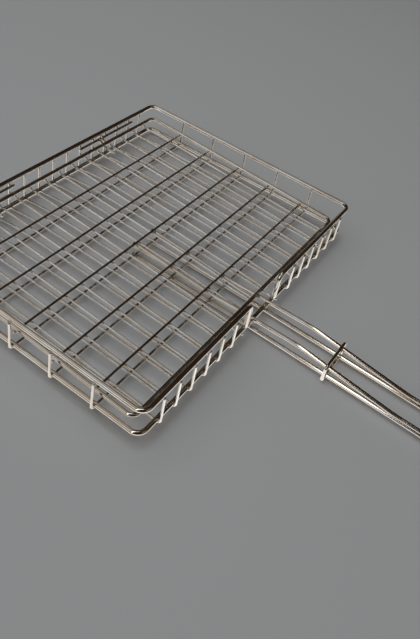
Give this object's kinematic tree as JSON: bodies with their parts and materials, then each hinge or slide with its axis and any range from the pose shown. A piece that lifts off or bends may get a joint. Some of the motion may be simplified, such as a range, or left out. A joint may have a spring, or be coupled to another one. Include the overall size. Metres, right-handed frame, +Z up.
{
  "type": "grill basket",
  "caption": "Hinged wire grill basket: shallow welded-wire tray, wire-mesh lid hooked on rungs at the back, long two-rod handles and a sliding ring that locks them together.",
  "frame": {"origin": "middle of the tray, on the plane of the undersides of the handle rods that run under the floor", "axes": "+Z up, -Y along the handle away from the tray, +Y towards the hinge, +X to the right seen from the handle"},
  "size_m": [0.3692, 0.5843, 0.0487],
  "materials": {
    "rod": "polished",
    "cross_wire": "polished",
    "long_wire": "polished"
  },
  "bodies": {
    "tray": {"tray_rim_rod": "rod", "tray_bottom_rod": "rod", "floor_cross_wire_1": "cross_wire", "floor_cross_wire_2": "cross_wire", "floor_cross_wire_3": "cross_wire", "floor_cross_wire_4": "cross_wire", "floor_cross_wire_5": "cross_wire", "floor_long_wire_01": "long_wire", "floor_long_wire_02": "long_wire", "floor_long_wire_03": "long_wire", "floor_long_wire_04": "long_wire", "floor_long_wire_05": "long_wire", "floor_long_wire_06": "long_wire", "floor_long_wire_07": "long_wire", "floor_long_wire_08": "long_wire", "floor_long_wire_09": "long_wire", "floor_long_wire_10": "long_wire", "floor_long_wire_11": "long_wire", "floor_long_wire_12": "long_wire", "floor_long_wire_13": "long_wire", "floor_long_wire_14": "long_wire", "floor_long_wire_15": "long_wire", "floor_long_wire_16": "long_wire", "hinge_rung_upper_left": "rod", "hinge_rung_upper_right": "rod", "hinge_rung_lower_left": "rod", "hinge_rung_lower_right": "rod", "tray_handle_rod": "rod"},
    "lid": {"lid_frame_rod": "rod", "lid_cross_wire_1": "cross_wire", "lid_cross_wire_2": "cross_wire", "lid_cross_wire_3": "cross_wire", "lid_cross_wire_4": "cross_wire", "lid_cross_wire_5": "cross_wire", "lid_long_wire_01": "long_wire", "lid_long_wire_02": "long_wire", "lid_long_wire_03": "long_wire", "lid_long_wire_04": "long_wire", "lid_long_wire_05": "long_wire", "lid_long_wire_06": "long_wire", "lid_long_wire_07": "long_wire", "lid_long_wire_08": "long_wire", "lid_long_wire_09": "long_wire", "lid_long_wire_10": "long_wire", "lid_long_wire_11": "long_wire", "lid_long_wire_12": "long_wire", "lid_long_wire_13": "long_wire", "lid_long_wire_14": "long_wire", "lid_long_wire_15": "long_wire", "lid_long_wire_16": "long_wire", "hinge_hook_left": "rod", "hinge_hook_right": "rod", "lid_handle_rod": "rod"},
    "ring": {"locking_ring": "rod"}
  },
  "joints": [
    {"name": "lid_hinge", "type": "hinge", "parent": "tray", "child": "lid", "pos_m": [0, 0.1385, 0.03255], "axis": [-1, 0, 0], "range_deg": [0, 94]},
    {"name": "ring_slide", "type": "slide", "parent": "tray", "child": "ring", "axis": [0, -0.9998, -0.02], "range_m": [0, 0.19]}
  ]
}
